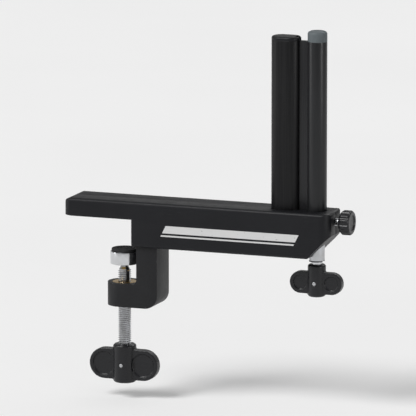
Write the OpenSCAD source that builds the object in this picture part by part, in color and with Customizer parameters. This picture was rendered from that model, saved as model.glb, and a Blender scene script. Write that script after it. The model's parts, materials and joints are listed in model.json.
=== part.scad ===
// Table tennis net clamp: the right-hand end support of a net.
// X points outward from the side edge of the table, Y along that edge, Z up.
// The origin lies on the playing surface, at the side edge, on the net line.

/* [Table and net] */
// Thickness of the table top held in the jaws
table_t = 25; // [18:0.5:30]
// Height of the top of the post above the playing surface
net_h = 152.5; // [140:0.5:165]
// Distance from the arm's stop face to the outer face of the post
post_reach = 152.5; // [146:0.5:165]

/* [Arm] */
// Width of the arm along the table edge
arm_w = 34; // [31:0.5:40]
// Height of the top of the arm above the playing surface
arm_top = 14.5; // [13:0.5:18]
// Depth of the arm below the playing surface
arm_drop = 21; // [20:0.5:25]
// Reach of the upper jaw over the table
jaw_reach = 53; // [46:0.5:62]
// Distance from the outer face of the post to the end of the arm
end_gap = 7.5; // [6.5:0.25:10]
// Size of the slanted cut under the outer end of the arm
end_cut = 18; // [16:0.5:19]
// Gap between the side edge of the table and the arm's stop face
edge_gap = 3; // [2:0.25:5]
// Wall of the moulded covers
cover_wall = 2.2; // [1.6:0.1:2.8]
// Radius along the long edges of the arm
edge_round = 3; // [2:0.25:4]
// Radius of the upright corners at the outer end
end_round = 8; // [5:0.5:10]
// Radius of the upright corners at the jaw tip
tip_round = 6; // [4:0.5:8]
// Width of the seam between the two covers
seam = 0.2; // [0.1:0.05:0.4]
// Height of the covers' lower lip above the playing surface
lip_z = 0.8; // [0.4:0.1:1.5]

/* [Frame] */
// Thickness of the pad under the upper jaw
pad_t = 2.5; // [1.5:0.25:3.5]
// Thickness of the upright web, along X
web_t = 17; // [14:0.5:22]
// Width of the web and the lower jaw, along Y
web_w = 26; // [23:0.5:27]
// Depth of the underside of the lower jaw below the playing surface
jaw_drop = 69; // [67:0.5:80]
// Thickness of the lower jaw
jaw_t = 18; // [14:0.5:19]
// Radius of the inner corners of the frame
inner_round = 4; // [2:0.5:5]
// Radius of the outer corner below the web
outer_round = 10; // [6:0.5:12]

/* [Clamp screw] */
// Diameter of the clamp screw
screw_d = 10; // [8:0.5:11]
// Distance from the table edge in to the axis of the clamp screw
screw_in = 9; // [8.5:0.25:14]
// Diameter of the ball at the head of the clamp screw
ball_d = 9; // [8:0.25:10]
// Diameter of the neck below the ball
neck_d = 6; // [5:0.25:6.5]
// Diameter of the pressure foot
foot_d = 22; // [19:0.5:23]
// Height of the pressure foot
foot_h = 10; // [9.5:0.25:12]
// Thickness of the rubber pad on the pressure foot
foot_pad_t = 2; // [1:0.25:3]
// Inset of the rubber pad from the rim of the foot
foot_pad_in = 1; // [0.5:0.25:2]
// Height of the ring that holds the ball in the foot
retainer_h = 2.5; // [2:0.25:3]
// Wall of the foot outside the retaining ring
retainer_wall = 4; // [3:0.25:4.5]
// Diameter of the brass nut below its flange
nut_d = 15; // [13.5:0.5:16]
// Diameter of the flange of the brass nut
nut_flange_d = 19; // [18:0.5:21]
// Thickness of the flange of the brass nut
nut_flange_t = 2.5; // [1.5:0.25:4]
// Distance from the lower jaw down to the clamp knob
knob_drop = 31; // [28:0.5:40]

/* [Clamp knob] */
// Span over the two wings of the clamp knob
clamp_span = 56; // [48:1:64]
// Height of the wings of the clamp knob
clamp_wing_h = 24; // [20:0.5:28]
// Thickness of the wings of the clamp knob
clamp_wing_t = 7; // [6:0.25:9]
// Diameter of the hub of the clamp knob
clamp_hub_d = 18; // [16:0.5:21]
// Height of the hub of the clamp knob above its wings
clamp_hub_rise = 4; // [2:0.5:7]
// Diameter of the cross pins in the knobs
pin_d = 3; // [2:0.25:3.5]

/* [Height knob] */
// Span over the two wings of the height knob
height_span = 42; // [36:1:50]
// Height of the wings of the height knob
height_wing_h = 17; // [15:0.5:21]
// Thickness of the wings of the height knob
height_wing_t = 6; // [5:0.25:8]
// Diameter of the hub of the height knob
height_hub_d = 14; // [13:0.5:17]
// Height of the hub of the height knob above its wings
height_hub_rise = 6; // [3:0.5:8]

/* [Both wing knobs] */
// Depth of the dish in each face of a wing
dish_depth = 1.2; // [0.6:0.1:1.8]
// Width of the rim around each dish
dish_rim = 3; // [2:0.25:4]
// Depth of the hub below the wings
hub_foot = 2; // [1:0.25:4]
// Thickness of the caps that close the hubs
hub_cap_t = 1.8; // [1:0.1:2.5]
// Wall of the hub around its cap
hub_cap_rim = 2.5; // [2:0.25:3.5]

/* [Main post] */
// Width of the main post, along X
post_w = 23; // [22:0.5:27]
// Thickness of the main post, along Y
post_t = 16; // [15:0.5:20]
// Wall of the main post
post_wall = 2; // [1.5:0.1:2.5]
// Distance from the top of the post down to the top of the main post
post_step = 5; // [4:0.5:10]
// Thickness of the plate of the main post's cap
post_cap_t = 3; // [2:0.25:4.5]
// Depth of the spigot under the main post's cap
post_cap_spigot = 8; // [5:0.5:12]
// Height of the plug in the foot of the main post
plug_h = 30; // [24:1:40]
// Diameter of the screws that hold the main post
post_screw_d = 4; // [3.5:0.25:4.5]
// Distance between the screws that hold the main post
post_screw_pitch = 8; // [7.8:0.1:8.6]

/* [Height column] */
// Diameter of the height column
column_d = 15; // [14.5:0.5:18]
// Wall of the height column
column_wall = 1.6; // [1.3:0.1:2]
// Gap between the main post and the height column
column_gap = 6; // [4:0.5:8]
// Height of the foot of the column above the playing surface
column_foot = 0.5; // [0:0.25:2]
// Width of the neck of the column's guide key
key_neck_w = 3.4; // [2.8:0.1:4]
// Width of the head of the column's guide key
key_head_w = 6.6; // [6:0.1:7.4]
// Thickness of the head of the column's guide key
key_head_t = 1.7; // [1.4:0.1:2]
// Thickness of the slot lips that the key runs behind
slot_lip = 1.6; // [1.3:0.1:2]
// Height of the cap on the column
column_cap_h = 8; // [6:0.5:11]
// Depth of the spigot under the column's cap
column_cap_spigot = 10; // [6:0.5:14]
// Diameter of the groove for the net cord in the column's cap
cord_groove_d = 3.6; // [2.5:0.1:4.5]

/* [Height screw] */
// Diameter of the height screw
height_screw_d = 8; // [6:0.5:8.5]
// Length of the height screw above the playing surface
height_screw_top = 55; // [40:1:70]
// Length of the nut in the foot of the column
height_nut_l = 14; // [12:0.5:20]
// Diameter of the grub screw that locks that nut
grub_d = 3; // [2.5:0.25:4]
// Diameter of the bush that carries the height screw
bush_d = 12; // [11:0.25:12.5]
// Diameter of the flange of that bush
bush_flange_d = 15; // [14:0.25:15.5]
// Thickness of the flange of that bush
bush_flange_t = 2; // [1.5:0.1:2.3]
// Depth of the top of the bush below the playing surface
bush_top = 7.5; // [7.3:0.1:8]
// Length of the bush that shows below the arm
bush_show = 3; // [2:0.5:6]
// Thickness of the thrust washer on the bush
washer_t = 0.7; // [0.5:0.05:0.9]
// Thickness of the shoulder on the height screw
shoulder_t = 1.6; // [1.2:0.1:1.8]
// Thickness of the retaining clip below the bush
clip_t = 0.9; // [0.7:0.05:1.2]

/* [Lock screw] */
// Diameter of the lock screw
lock_d = 6; // [5:0.25:7]
// Height of the axis of the lock screw above the playing surface
lock_z = 6.5; // [6:0.25:8]
// Diameter of the lock knob
lock_knob_d = 19; // [16:0.5:24]
// Length of the lock knob
lock_knob_l = 9; // [8:0.5:14]
// Length of lock screw that shows between the arm and the knob
lock_show = 4.5; // [4:0.5:9]
// Number of flutes around the lock knob
lock_flutes = 12; // [8:1:16]
// Diameter of the flutes around the lock knob
flute_d = 3.2; // [2.4:0.1:3.6]
// Thickness of the nylon tip's head
tip_t = 1; // [0.8:0.1:1.4]
// Distance from the nylon tip to the column
tip_gap = 0.3; // [0.2:0.05:0.5]

/* [Cover screws] */
// Diameter of the screws that join the covers
cover_screw_d = 3; // [2.5:0.25:3.5]
// Wall of the screw bosses
boss_wall = 1.7; // [1.3:0.1:2]
// Diameter of the heads of the cover screws
cover_head_d = 5.4; // [4.8:0.2:6]
// Depth of the head recess
cover_head_sink = 2.4; // [2:0.2:3]
// Length of thread in the front cover
cover_thread = 9; // [6:0.5:11]

/* [Hidden] */
$fn = 64;

// Fits: radial clearance of turning parts, of pressed parts and of sliding parts
run_fit = 0.05;
press_fit = 0.02;
slide_fit = 0.3;
seat_fit = 0.05;
past = 1;          // how far a cut runs past the face that it opens
least_round = 0.5; // smallest radius left of a round that is shrunk

// Arm
post_outer = edge_gap + post_reach;
arm_end = post_outer + end_gap;
cover_in = arm_w/2 - cover_wall;
frame_in = cover_wall + seat_fit;
bar_top = arm_top - frame_in;

// Frame
web_x0 = edge_gap + cover_wall + slide_fit;
web_x1 = web_x0 + web_t;
jaw_top = -jaw_drop + jaw_t;

// Clamp screw, from the table's underside down
foot_top = -table_t - foot_pad_t;
foot_bottom = foot_top - foot_h;
ball_cover = 1;
ball_z = foot_top - ball_cover - ball_d/2;
retainer_d = foot_d - 2*retainer_wall;
neck_clear = 0.3;
neck_show = 2.5;  // length of neck that shows below the foot
neck_cone = 1.5;  // length of the cone from the neck to the thread
neck_end = foot_bottom - neck_show;
clamp_knob_top = -jaw_drop - knob_drop;

// Cover screws: one at the jaw tip and three under the frame
boss_d = cover_screw_d + 2*boss_wall;
boss_sink = 0.4;  // how far a boss is sunk into the wall beside it
tip_screw = [-jaw_reach + cover_wall + boss_d/2 - boss_sink, (bar_top + pad_t)/2];
bar_x0 = tip_screw[0] + boss_d/2 + slide_fit;
low_screw_z = -arm_drop + cover_wall + boss_d/2 - boss_sink;
low_screw_x0 = web_x1 + slide_fit + cover_wall + boss_d/2;

// Post and column
column_x = post_outer - column_d/2;
post_x1 = post_outer - column_d - column_gap;
post_x0 = post_x1 - post_w;
slot_floor = post_x1 - slot_lip - key_head_t - 2*slide_fit;
channel_x = slot_floor - post_wall;
post_top = net_h - post_step - post_cap_t;
column_top = net_h - column_cap_h;
plug_x = (post_x0 + post_wall + channel_x)/2;
post_head_d = 1.7*post_screw_d;
post_head_t = 0.8*post_screw_d;
post_socket_d = 0.8*post_screw_d;
post_screw_grip = 16;  // length of those screws inside the plug

// Height screw, from the bush down
bush_z1 = -bush_top;
bush_z0 = -arm_drop - bush_show;
block_top = bush_z1 + past;
block_x0 = column_x - bush_d/2 - cover_wall;
shoulder_z = bush_z1 + washer_t + run_fit;
clip_z1 = bush_z0 - run_fit;
clip_z0 = clip_z1 - clip_t;
clip_gap = 2;       // gap between the clip and the height knob
clip_groove = 0.6;  // depth of the clip's groove in the screw
height_knob_top = clip_z0 - clip_gap;
low_screw_x1 = block_x0 - boss_d/2 + boss_sink;
low_screw_x = [for (i = [0:2]) low_screw_x0 + i*(low_screw_x1 - low_screw_x0)/2];

// Lock screw, from the column outward
tip_x0 = post_outer + tip_gap;
lock_x0 = tip_x0 + tip_t;
lock_knob_x0 = arm_end + lock_show;
tip_pin_d = 2.5;  // pin of the nylon tip, pressed into the lock screw
tip_pin_l = 2.5;
lock_seat = 0.7*lock_knob_l;  // depth of the lock screw in its knob

// Rectangle from corner a to corner b with round corners
module round_rect(a, b, r) {
    translate([a.x + r, a.y]) square([b.x - a.x - 2*r, b.y - a.y]);
    translate([a.x, a.y + r]) square([b.x - a.x, b.y - a.y - 2*r]);
    for (x = [a.x + r, b.x - r], y = [a.y + r, b.y - r]) translate([x, y]) circle(r);
}

// What rounding a corner takes off it, or a fillet adds in it; dir points to the round's centre
module corner(at, dir, r) {
    translate(at) mirror_to(dir) difference() {
        translate([-past, -past]) square(r + past);
        translate([r, r]) circle(r);
    }
}

// Mirrors its children so that their first quadrant points along dir
module mirror_to(dir) {
    mirror([dir.x < 0 ? 1 : 0, 0]) mirror([0, dir.y < 0 ? 1 : 0]) children();
}

// Slot-shaped outline of width w along X and thickness t, shrunk by inset
module oval(x0, w, t, inset = 0) {
    r = t/2 - inset;
    for (x = [x0 + t/2, x0 + w - t/2]) translate([x, 0]) circle(r);
    translate([x0 + t/2, -r]) square([w - t, 2*r]);
}

// Extrudes an outline drawn in X and Z by w, centred on the net line
module along_y(w) {
    rotate([90, 0, 0]) linear_extrude(w, center = true) children();
}

// Cylinder from the front, along Y, through [x, z]
module bore_y(at, y0, y1, d) {
    translate([at[0], y0, at[1]]) rotate([-90, 0, 0]) cylinder(y1 - y0, d = d);
}

// Solid of the arm as outlined from the side, the end and above, shrunk by inset
module arm_form(inset) {
    x0 = -jaw_reach + inset;
    x1 = arm_end - inset;
    z0 = -arm_drop + inset;
    z1 = arm_top - inset;
    lip = lip_z + inset;
    slant = arm_end + arm_drop - end_cut - inset*sqrt(2);
    wall_x = edge_gap + inset;
    half = arm_w/2 - inset;
    tip_r = max(tip_round - inset, least_round);
    end_r = max(end_round - inset, least_round);
    edge_r = max(edge_round - inset, least_round);
    intersection() {
        along_y(arm_w) difference() {
            polygon([[x0, lip], [x0, z1], [x1, z1], [x1, x1 - slant],
                     [z0 + slant, z0], [wall_x, z0], [wall_x, lip]]);
            corner([x0, z1], [1, -1], tip_r);
            corner([x1, z1], [-1, -1], edge_r);
        }
        translate([x0, 0, 0]) rotate([90, 0, 90]) linear_extrude(x1 - x0)
            round_rect([-half, z0], [half, z1], edge_r);
        translate([0, 0, z0]) linear_extrude(z1 - z0) difference() {
            translate([x0, -half]) square([x1 - x0, 2*half]);
            for (s = [-1, 1]) {
                corner([x0, s*half], [1, -s], tip_r);
                corner([x1, s*half], [-1, -s], end_r);
            }
        }
    }
}

// Outline of the height column with its guide key, grown by c
module column_outline(c) {
    translate([column_x, 0]) circle(column_d/2 + c);
    neck_x = slot_floor + slide_fit + key_head_t;
    translate([neck_x - c, -key_neck_w/2 - c])
        square([column_x - neck_x, key_neck_w + 2*c]);
    translate([slot_floor + slide_fit - c, -key_head_w/2 - c])
        square([key_head_t + 2*c, key_head_w + 2*c]);
}

// Places of the screws that hold the main post, seen from above
module post_screw_places() {
    for (s = [-1, 1]) translate([plug_x + s*post_screw_pitch/2, 0]) children();
}

module c_frame() {
    color("#232326") difference() {
        union() {
            intersection() {
                arm_form(frame_in);
                translate([bar_x0, -arm_w/2, pad_t])
                    cube([arm_end - bar_x0, arm_w, arm_top]);
            }
            along_y(web_w) {
                difference() {
                    translate([web_x0, -jaw_drop]) square([web_t, jaw_drop + pad_t + past]);
                    corner([web_x1, -jaw_drop], [-1, 1], outer_round);
                }
                corner([web_x0, jaw_top], [-1, 1], inner_round);
                translate([-screw_in, -jaw_drop]) square([screw_in + web_x0 + past, jaw_t]);
            }
            translate([-screw_in, 0, -jaw_drop]) cylinder(jaw_t, d = web_w);
        }
        // Seat of the brass nut
        translate([-screw_in, 0, -jaw_drop - past])
            cylinder(jaw_t + 2*past, d = nut_d + 2*press_fit);
        translate([-screw_in, 0, jaw_top - nut_flange_t])
            cylinder(nut_flange_t + past, d = nut_flange_d + 2*press_fit);
        // Post screws and column
        translate([0, 0, pad_t - past]) linear_extrude(arm_top) {
            post_screw_places() circle(post_screw_d/2 + slide_fit);
            column_outline(slide_fit);
        }
        // Thread of the lock screw
        translate([column_x, 0, lock_z]) rotate([0, 90, 0])
            cylinder(arm_end - column_x, d = lock_d + 2*run_fit);
    }
}

module upper_pad() {
    color("#2e2e30") linear_extrude(pad_t) intersection() {
        projection_of_jaw(cover_wall + slide_fit);
        translate([-jaw_reach, -arm_w/2]) square([jaw_reach + edge_gap - slide_fit, arm_w]);
    }
}

// Outline of the upper jaw from above, shrunk by inset
module projection_of_jaw(inset) {
    half = arm_w/2 - inset;
    difference() {
        translate([-jaw_reach + inset, -half]) square([jaw_reach + web_x0, 2*half]);
        for (s = [-1, 1])
            corner([-jaw_reach + inset, s*half], [1, -s], max(tip_round - inset, least_round));
    }
}

// Both covers before they are parted: the hollow arm with its openings
module cover_shell() {
    difference() {
        arm_form(0);
        difference() {
            arm_form(cover_wall);
            // Solid block around the bush of the height screw
            translate([block_x0, -arm_w/2, -arm_drop])
                cube([arm_end - block_x0, arm_w, arm_drop + block_top]);
        }
        // Pocket for the upper pad
        translate([0, 0, -lip_z]) linear_extrude(2*lip_z + cover_wall) intersection() {
            projection_of_jaw(cover_wall);
            translate([-jaw_reach, -arm_w/2])
                square([jaw_reach + edge_gap + cover_wall, arm_w]);
        }
        // Way out of the web
        translate([web_x0 - slide_fit, -web_w/2 - slide_fit, -arm_drop - past])
            cube([web_t + 2*slide_fit, web_w + 2*slide_fit, cover_wall + 2*past]);
        // Ways up for the main post and the column
        translate([0, 0, bar_top - past]) linear_extrude(arm_top - bar_top + 2*past) {
            oval(post_x0, post_w, post_t, -slide_fit);
            column_outline(slide_fit);
        }
        // Way out of the lock screw
        translate([column_x, 0, lock_z]) rotate([0, 90, 0])
            cylinder(arm_end, d = lock_d + 2*slide_fit);
        // Seat of the bush
        translate([column_x, 0, -arm_drop - past])
            cylinder(arm_drop, d = bush_d + 2*press_fit);
        translate([column_x, 0, bush_z1 - bush_flange_t])
            cylinder(bush_flange_t + 2*past, d = bush_flange_d + 2*press_fit);
    }
}

// The four places where the covers are screwed together
function cover_screw_places() = concat([tip_screw], [for (x = low_screw_x) [x, low_screw_z]]);

module front_cover() {
    color("#1c1c1e") difference() {
        union() {
            intersection() {
                cover_shell();
                translate([-jaw_reach, -arm_w, -arm_drop])
                    cube([jaw_reach + arm_end, arm_w - seam/2, arm_drop + arm_top]);
            }
            for (at = cover_screw_places()) bore_y(at, -cover_in - seat_fit, -seam/2, boss_d);
        }
        for (at = cover_screw_places())
            bore_y(at, -cover_thread, past, cover_screw_d + 2*press_fit);
    }
}

module rear_cover() {
    head_y = arm_w/2 - cover_head_sink;
    color("#1c1c1e") difference() {
        union() {
            intersection() {
                cover_shell();
                translate([-jaw_reach, seam/2, -arm_drop])
                    cube([jaw_reach + arm_end, arm_w, arm_drop + arm_top]);
            }
            for (at = cover_screw_places()) bore_y(at, seam/2, cover_in + seat_fit, boss_d);
        }
        for (at = cover_screw_places()) {
            bore_y(at, -past, arm_w, cover_screw_d + 2*press_fit);
            bore_y(at, head_y, arm_w, cover_head_d + 2*slide_fit);
        }
    }
}

module cover_screws() {
    head_y = arm_w/2 - cover_head_sink;
    head_t = 0.6*cover_screw_d;
    color("silver") for (at = cover_screw_places()) {
        bore_y(at, -cover_thread + slide_fit, head_y + seat_fit, cover_screw_d);
        difference() {
            bore_y(at, head_y, head_y + head_t, cover_head_d);
            // Cross recess
            for (a = [0, 90])
                translate([at[0], head_y + head_t, at[1]]) rotate([0, a, 0])
                    cube([0.6*cover_head_d, head_t, 0.15*cover_head_d], center = true);
        }
    }
}

module main_post() {
    color("#18181a") translate([0, 0, bar_top]) linear_extrude(post_top - bar_top)
        difference() {
            oval(post_x0, post_w, post_t);
            intersection() {
                oval(post_x0, post_w, post_t, post_wall);
                translate([post_x0, -post_t]) square([channel_x - post_x0, 2*post_t]);
            }
            column_outline(slide_fit);
        }
}

module post_plug() {
    color("silver") translate([0, 0, bar_top]) difference() {
        linear_extrude(plug_h) intersection() {
            oval(post_x0, post_w, post_t, post_wall + press_fit);
            translate([post_x0, -post_t]) square([channel_x - press_fit - post_x0, 2*post_t]);
        }
        translate([0, 0, -past]) linear_extrude(post_screw_grip + 2*past)
            post_screw_places() circle(post_screw_d/2 + press_fit);
    }
}

module post_screws() {
    color("silver") post_screw_places() difference() {
        union() {
            translate([0, 0, pad_t - post_head_t]) cylinder(post_head_t, d = post_head_d);
            translate([0, 0, pad_t]) cylinder(bar_top - pad_t + post_screw_grip, d = post_screw_d);
        }
        translate([0, 0, pad_t - post_head_t - past])
            cylinder(post_head_t/2 + past, d = post_socket_d, $fn = 6);
    }
}

// Slot-shaped plate whose top edge is rounded with radius r
module soft_plate(x0, w, t, h, r) {
    profile_r = t/2;
    for (x = [x0 + t/2, x0 + w - t/2]) translate([x, 0, 0])
        rotate_extrude() difference() {
            square([profile_r, h]);
            corner([profile_r, h], [-1, -1], r);
        }
    translate([x0 + t/2, 0, 0]) rotate([90, 0, 90]) linear_extrude(w - t)
        difference() {
            translate([-t/2, 0]) square([t, h]);
            for (s = [-1, 1]) corner([s*t/2, h], [-s, -1], r);
        }
}

module post_cap() {
    color("#141416") difference() {
        union() {
            translate([0, 0, post_top]) soft_plate(post_x0, post_w, post_t, post_cap_t,
                                                   0.6*post_cap_t);
            translate([0, 0, post_top - post_cap_spigot]) linear_extrude(post_cap_spigot)
                intersection() {
                    oval(post_x0, post_w, post_t, post_wall + press_fit);
                    translate([post_x0, -post_t])
                        square([channel_x - press_fit - post_x0, 2*post_t]);
                }
        }
        translate([0, 0, post_top - past]) linear_extrude(post_cap_t + 2*past)
            column_outline(slide_fit);
    }
}

module clamp_nut() {
    color("goldenrod") translate([-screw_in, 0, -jaw_drop]) difference() {
        union() {
            cylinder(jaw_t, d = nut_d);
            translate([0, 0, jaw_t - nut_flange_t]) cylinder(nut_flange_t, d = nut_flange_d);
        }
        translate([0, 0, -past]) cylinder(jaw_t + 2*past, d = screw_d + 2*run_fit);
    }
}

module height_bush() {
    color("silver") translate([column_x, 0, bush_z0]) difference() {
        union() {
            cylinder(bush_z1 - bush_z0, d = bush_d);
            translate([0, 0, bush_z1 - bush_z0 - bush_flange_t])
                cylinder(bush_flange_t, d = bush_flange_d);
        }
        translate([0, 0, -past])
            cylinder(bush_z1 - bush_z0 + 2*past, d = height_screw_d + 2*run_fit);
    }
}

module thrust_washer() {
    color("goldenrod") translate([column_x, 0, bush_z1]) difference() {
        cylinder(washer_t, d = bush_d);
        translate([0, 0, -past]) cylinder(washer_t + 2*past, d = height_screw_d + 2*run_fit);
    }
}

module height_column() {
    color("#1d1d20") difference() {
        translate([0, 0, column_foot]) linear_extrude(column_top - column_foot) difference() {
            column_outline(0);
            translate([column_x, 0]) circle(column_d/2 - column_wall);
        }
        bore_y([column_x, column_foot + height_nut_l/2], 0, column_d, grub_d + 2*press_fit);
    }
}

module height_nut() {
    nut_r = column_d/2 - column_wall - press_fit;
    color("goldenrod") difference() {
        translate([column_x, 0, column_foot]) difference() {
            cylinder(height_nut_l, r = nut_r);
            translate([0, 0, -past])
                cylinder(height_nut_l + 2*past, d = height_screw_d + 2*run_fit);
        }
        bore_y([column_x, column_foot + height_nut_l/2], 0, column_d, grub_d + 2*press_fit);
    }
}

module nut_grub_screw() {
    y0 = height_screw_d/2 + 2*run_fit + slide_fit;
    color("silver") difference() {
        bore_y([column_x, column_foot + height_nut_l/2], y0, column_d/2 - slide_fit, grub_d);
        translate([column_x, column_d/2, column_foot + height_nut_l/2]) rotate([90, 0, 0])
            cylinder(column_wall, d = grub_d/2, $fn = 6);
    }
}

module column_cap() {
    cap_r = column_d/2;
    color("#a7abae") translate([column_x, 0, 0]) difference() {
        union() {
            translate([0, 0, column_top]) rotate_extrude() difference() {
                square([cap_r, column_cap_h]);
                corner([cap_r, column_cap_h], [-1, -1], 0.3*column_cap_h);
            }
            translate([0, 0, column_top - column_cap_spigot])
                cylinder(column_cap_spigot, r = cap_r - column_wall - press_fit);
        }
        translate([-column_d, 0, net_h]) rotate([0, 90, 0])
            cylinder(2*column_d, d = cord_groove_d);
    }
}

// Wing knob that hangs down from the origin on its own axis
module wing_knob(span, wing_h, wing_t, hub_d, rise, shaft_d, shaft_l, pin_z) {
    hub_h = rise + wing_h + hub_foot;
    wing_z0 = -rise - wing_h;
    lobe_r = wing_h/2;
    lobe_x = span/2 - lobe_r;
    lobe_flat = 0.02;  // straight length left between the round corners of a lobe
    bevel = 1.2;
    difference() {
        union() {
            rotate_extrude() polygon([[0, 0], [hub_d/2 - bevel, 0], [hub_d/2, -bevel],
                                      [hub_d/2, -hub_h + bevel], [hub_d/2 - bevel, -hub_h],
                                      [0, -hub_h]]);
            along_y(wing_t)
                round_rect([-span/2, wing_z0], [span/2, -rise], lobe_r - lobe_flat/2);
        }
        for (s = [-1, 1], side = [-1, 1])
            bore_y([s*lobe_x, wing_z0 + lobe_r],
                   side > 0 ? wing_t/2 - dish_depth : -wing_t/2 - past,
                   side > 0 ? wing_t/2 + past : -wing_t/2 + dish_depth, 2*(lobe_r - dish_rim));
        translate([0, 0, -shaft_l]) cylinder(shaft_l + past, d = shaft_d + 2*press_fit);
        bore_y([0, pin_z], -hub_d, hub_d, pin_d + 2*press_fit);
        translate([0, 0, -hub_h - past])
            cylinder(hub_cap_t + past, d = hub_d - 2*hub_cap_rim + 2*press_fit);
    }
}

// Cap that closes the lower end of a wing knob's hub
module hub_cap(wing_h, hub_d, rise) {
    hub_h = rise + wing_h + hub_foot;
    translate([0, 0, -hub_h]) difference() {
        cylinder(hub_cap_t, d = hub_d - 2*hub_cap_rim);
        translate([0, 0, -past]) cylinder(past + hub_cap_t/4, d = hub_d - 4*hub_cap_rim);
    }
}

// Depth of the shaft in a hub, and the height of its cross pin
function shaft_depth(wing_h, rise) = rise + 0.75*wing_h;
function pin_height(wing_h, rise) = -rise - wing_h/2;

module at_height_knob() {
    translate([column_x, 0, height_knob_top]) children();
}

module at_clamp_knob() {
    translate([-screw_in, 0, clamp_knob_top]) children();
}

module height_screw() {
    shaft_l = shaft_depth(height_wing_h, height_hub_rise);
    pin_z = height_knob_top + pin_height(height_wing_h, height_hub_rise);
    color("#c9cacd") difference() {
        translate([column_x, 0, 0]) union() {
            translate([0, 0, height_knob_top - shaft_l])
                cylinder(height_screw_top - height_knob_top + shaft_l, d = height_screw_d);
            translate([0, 0, shoulder_z]) cylinder(shoulder_t, d = bush_d);
        }
        translate([column_x, 0, clip_z0 - press_fit]) rotate_extrude()
            translate([height_screw_d/2 - clip_groove, 0])
                square([clip_groove + past, clip_t + 2*press_fit]);
        bore_y([column_x, pin_z], -height_screw_d, height_screw_d, pin_d + 2*press_fit);
    }
}

module height_clip() {
    inner_d = height_screw_d - 2*clip_groove + 2*press_fit;
    color("dimgray") translate([column_x, 0, clip_z0]) difference() {
        cylinder(clip_t, d = bush_d);
        translate([0, 0, -past]) cylinder(clip_t + 2*past, d = inner_d);
        translate([0, -inner_d/3, -past]) cube([bush_d, inner_d/1.5, clip_t + 2*past]);
    }
}

module height_knob() {
    color("#18181a") at_height_knob()
        wing_knob(height_span, height_wing_h, height_wing_t, height_hub_d, height_hub_rise,
                  height_screw_d, shaft_depth(height_wing_h, height_hub_rise),
                  pin_height(height_wing_h, height_hub_rise));
}

module height_knob_pin() {
    color("silver") at_height_knob()
        bore_y([0, pin_height(height_wing_h, height_hub_rise)],
               -height_hub_d/2 + slide_fit, height_hub_d/2 - slide_fit, pin_d);
}

module height_knob_cap() {
    color("#303033") at_height_knob() hub_cap(height_wing_h, height_hub_d, height_hub_rise);
}

module pressure_foot() {
    color("#c9cacd") translate([-screw_in, 0, 0]) difference() {
        translate([0, 0, foot_bottom]) cylinder(foot_h, d = foot_d);
        translate([0, 0, ball_z]) sphere(d = ball_d + 2*run_fit);
        translate([0, 0, foot_bottom - past])
            cylinder(ball_z - foot_bottom + past, d = ball_d + 2*run_fit);
        translate([0, 0, foot_bottom - past])
            cylinder(retainer_h + past, d = retainer_d + 2*press_fit);
    }
}

module foot_pad() {
    color("#2e2e30") translate([-screw_in, 0, foot_top])
        cylinder(foot_pad_t, d = foot_d - 2*foot_pad_in);
}

module foot_retainer() {
    color("goldenrod") translate([-screw_in, 0, 0]) difference() {
        translate([0, 0, foot_bottom]) cylinder(retainer_h, d = retainer_d);
        translate([0, 0, ball_z]) sphere(d = ball_d + 2*run_fit);
        translate([0, 0, foot_bottom - past])
            cylinder(retainer_h + 2*past, d = neck_d + 2*neck_clear);
    }
}

module clamp_screw() {
    shaft_end = clamp_knob_top - shaft_depth(clamp_wing_h, clamp_hub_rise);
    pin_z = clamp_knob_top + pin_height(clamp_wing_h, clamp_hub_rise);
    color("#c9cacd") difference() {
        translate([-screw_in, 0, 0]) union() {
            translate([0, 0, ball_z]) sphere(d = ball_d);
            rotate_extrude() polygon([[0, ball_z], [neck_d/2, ball_z], [neck_d/2, neck_end],
                                      [screw_d/2, neck_end - neck_cone],
                                      [screw_d/2, shaft_end], [0, shaft_end]]);
        }
        bore_y([-screw_in, pin_z], -screw_d, screw_d, pin_d + 2*press_fit);
    }
}

module clamp_knob() {
    color("#18181a") at_clamp_knob()
        wing_knob(clamp_span, clamp_wing_h, clamp_wing_t, clamp_hub_d, clamp_hub_rise,
                  screw_d, shaft_depth(clamp_wing_h, clamp_hub_rise),
                  pin_height(clamp_wing_h, clamp_hub_rise));
}

module clamp_knob_pin() {
    color("silver") at_clamp_knob()
        bore_y([0, pin_height(clamp_wing_h, clamp_hub_rise)],
               -clamp_hub_d/2 + slide_fit, clamp_hub_d/2 - slide_fit, pin_d);
}

module clamp_knob_cap() {
    color("#303033") at_clamp_knob() hub_cap(clamp_wing_h, clamp_hub_d, clamp_hub_rise);
}

// Places its children on the axis of the lock screw, their Z pointing outward
module at_lock(x) {
    translate([x, 0, lock_z]) rotate([0, 90, 0]) children();
}

module lock_tip() {
    color("ivory") at_lock(tip_x0) {
        cylinder(tip_t, d = 0.8*lock_d);
        cylinder(tip_t + tip_pin_l, d = tip_pin_d);
    }
}

module lock_screw() {
    color("#c9cacd") difference() {
        at_lock(lock_x0) cylinder(lock_knob_x0 + lock_seat - lock_x0, d = lock_d);
        at_lock(lock_x0 - past) cylinder(past + tip_pin_l + slide_fit, d = tip_pin_d + 2*run_fit);
    }
}

module lock_knob() {
    bevel = 1;
    r = lock_knob_d/2;
    color("#242422") difference() {
        at_lock(lock_knob_x0) rotate_extrude()
            polygon([[0, 0], [r - 2*bevel, 0], [r, 2*bevel], [r, lock_knob_l - bevel],
                     [r - bevel, lock_knob_l], [0, lock_knob_l]]);
        at_lock(lock_knob_x0 - past)
            cylinder(past + lock_seat, d = lock_d + 2*press_fit);
        at_lock(lock_knob_x0 - past) for (i = [0:lock_flutes - 1])
            rotate(i*360/lock_flutes) translate([r + 0.25*flute_d, 0, 0])
                cylinder(lock_knob_l + 2*past, d = flute_d);
    }
}

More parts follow.
